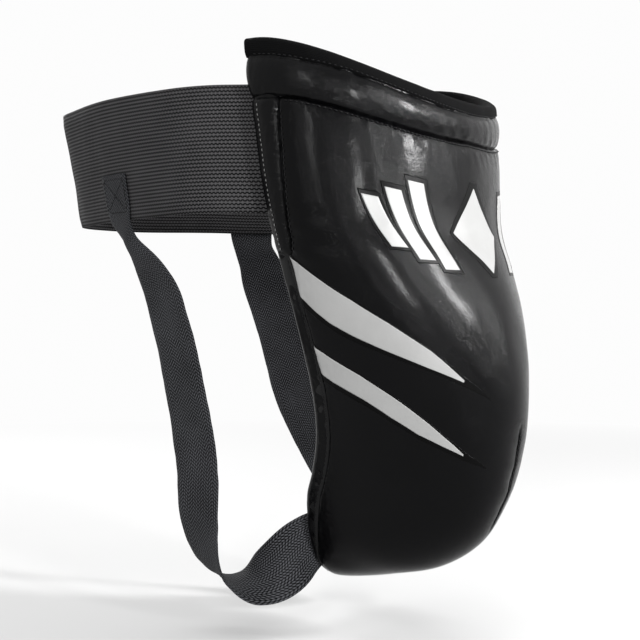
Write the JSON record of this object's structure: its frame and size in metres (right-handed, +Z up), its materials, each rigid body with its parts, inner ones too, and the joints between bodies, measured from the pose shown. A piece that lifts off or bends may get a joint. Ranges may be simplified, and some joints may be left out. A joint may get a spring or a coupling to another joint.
{
  "type": "groin protector",
  "caption": "Padded groin shield with a hard cup, hung from a wide elastic waistband and held by elastic leg straps, for martial arts and boxing.",
  "frame": {"origin": "centre of the waist opening, halfway up the waistband", "axes": "+Z up, towards the wearer's head; the shield faces -Y; the wearer's right side is -X"},
  "size_m": [0.2502, 0.3334, 0.3412],
  "materials": {
    "cover_leather": "smooth synthetic leather with a soft gloss",
    "rim_tape": "matte folded tape",
    "edge_tape": "thin folded leather strip",
    "foam": "closed-cell foam, not seen",
    "cup_shell": "moulded plastic, not seen",
    "lining_cloth": "brushed knit lining",
    "band_elastic": "woven elastic with fine cords",
    "strap_elastic": "woven elastic, fine herringbone",
    "print_white": "printed film",
    "print_black": "printed film",
    "thread_grey": "sewing thread",
    "thread_black": "sewing thread"
  },
  "bodies": {
    "shield": {"outer_cover": "cover_leather", "top_roll": "cover_leather", "side_welt_right": "cover_leather", "side_welt_left": "cover_leather", "top_binding": "rim_tape", "edge_binding_right": "edge_tape", "edge_binding_left": "edge_tape", "crotch_binding": "edge_tape", "front_foam": "foam", "hard_cup": "cup_shell", "cup_surround": "foam", "back_foam": "foam", "inner_lining": "lining_cloth", "waistband_right": "band_elastic", "waistband_left": "band_elastic", "strap_top_tab_right": "strap_elastic", "strap_top_tab_left": "strap_elastic", "strap_bottom_tab_right": "strap_elastic", "strap_bottom_tab_left": "strap_elastic", "emblem": "print_white", "flash_upper_right": "print_white", "flash_upper_left": "print_white", "flash_lower_right": "print_white", "flash_lower_left": "print_white", "flash_edge_upper_right": "print_black", "flash_edge_upper_left": "print_black", "flash_edge_lower_right": "print_black", "flash_edge_lower_left": "print_black", "roll_stitching": "thread_black", "welt_stitching_right": "thread_grey", "welt_stitching_left": "thread_grey", "edge_stitching_right": "thread_black", "edge_stitching_left": "thread_black", "centre_seam": "thread_black"},
    "waistband_rear": {"waistband_rear": "band_elastic"},
    "leg_strap_right": {"leg_strap_right": "strap_elastic"},
    "leg_strap_left": {"leg_strap_left": "strap_elastic"}
  },
  "joints": [
    {"name": "right_leg_strap_swing", "type": "hinge", "parent": "shield", "child": "leg_strap_right", "pos_m": [-0.0942, 0.0429, -0.0505], "axis": [0.2605, -0.398, -0.8796], "range_deg": [-20, 20]},
    {"name": "left_leg_strap_swing", "type": "hinge", "parent": "shield", "child": "leg_strap_left", "pos_m": [0.0844, 0.0697, -0.052], "axis": [-0.2088, -0.499, -0.8411], "range_deg": [-20, 20]},
    {"name": "waistband_stretch", "type": "slide", "parent": "shield", "child": "waistband_rear", "axis": [0, 1, 0], "range_m": [0, 0.06], "stiffness_N_per_m": 150}
  ]
}
